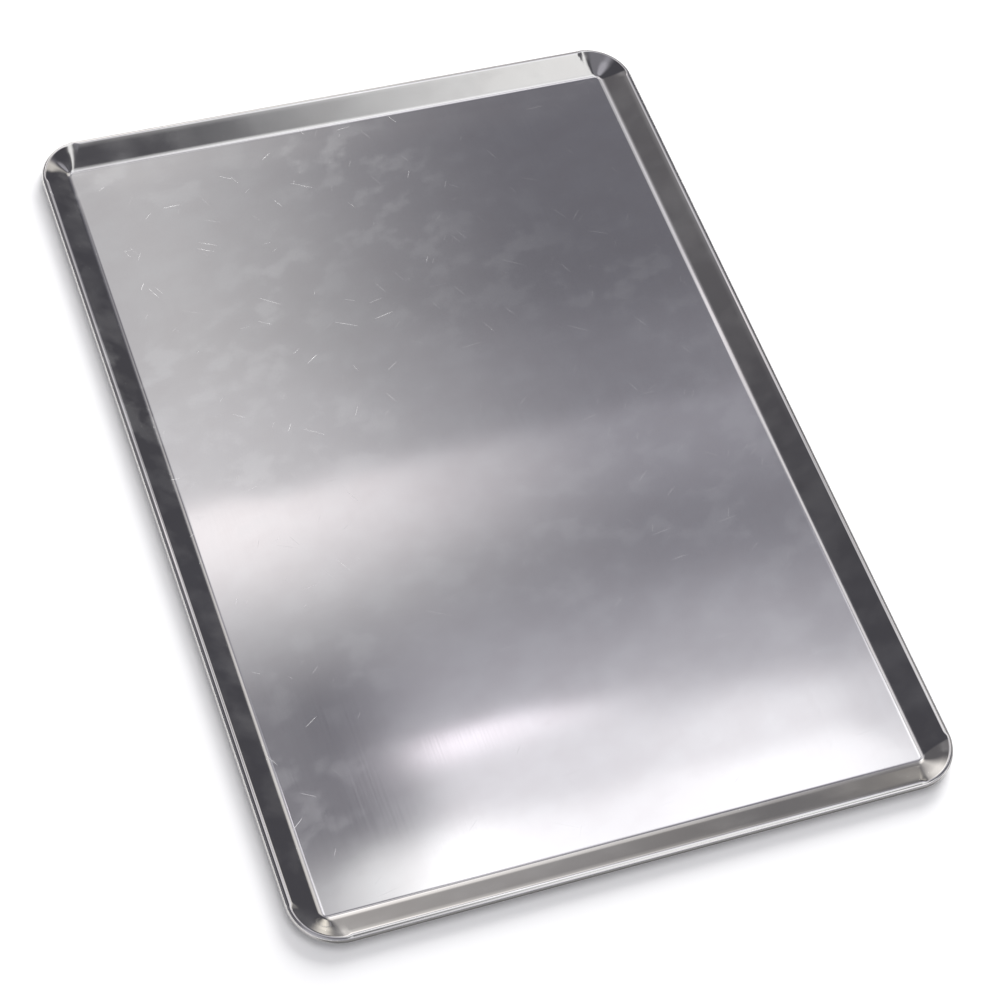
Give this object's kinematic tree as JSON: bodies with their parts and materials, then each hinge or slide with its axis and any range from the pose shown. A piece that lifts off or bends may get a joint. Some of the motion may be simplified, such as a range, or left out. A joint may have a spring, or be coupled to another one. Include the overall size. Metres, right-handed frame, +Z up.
{
  "type": "cookie sheet",
  "caption": "Shallow rectangular baking sheet pressed from aluminium, with sloping walls and a wire-stiffened curled rim.",
  "frame": {"origin": "middle of the flat underside, on the surface that the sheet stands on", "axes": "+X across the sheet, +Y along its length, +Z up out of the tray"},
  "size_m": [0.454, 0.656, 0.0105],
  "materials": {
    "pressed_aluminium": "rolled and pressed, satin bright with wear marks",
    "galvanised_wire": "galvanised"
  },
  "bodies": {
    "root": {"pan": "pressed_aluminium", "rim_wire": "galvanised_wire"}
  },
  "joints": []
}
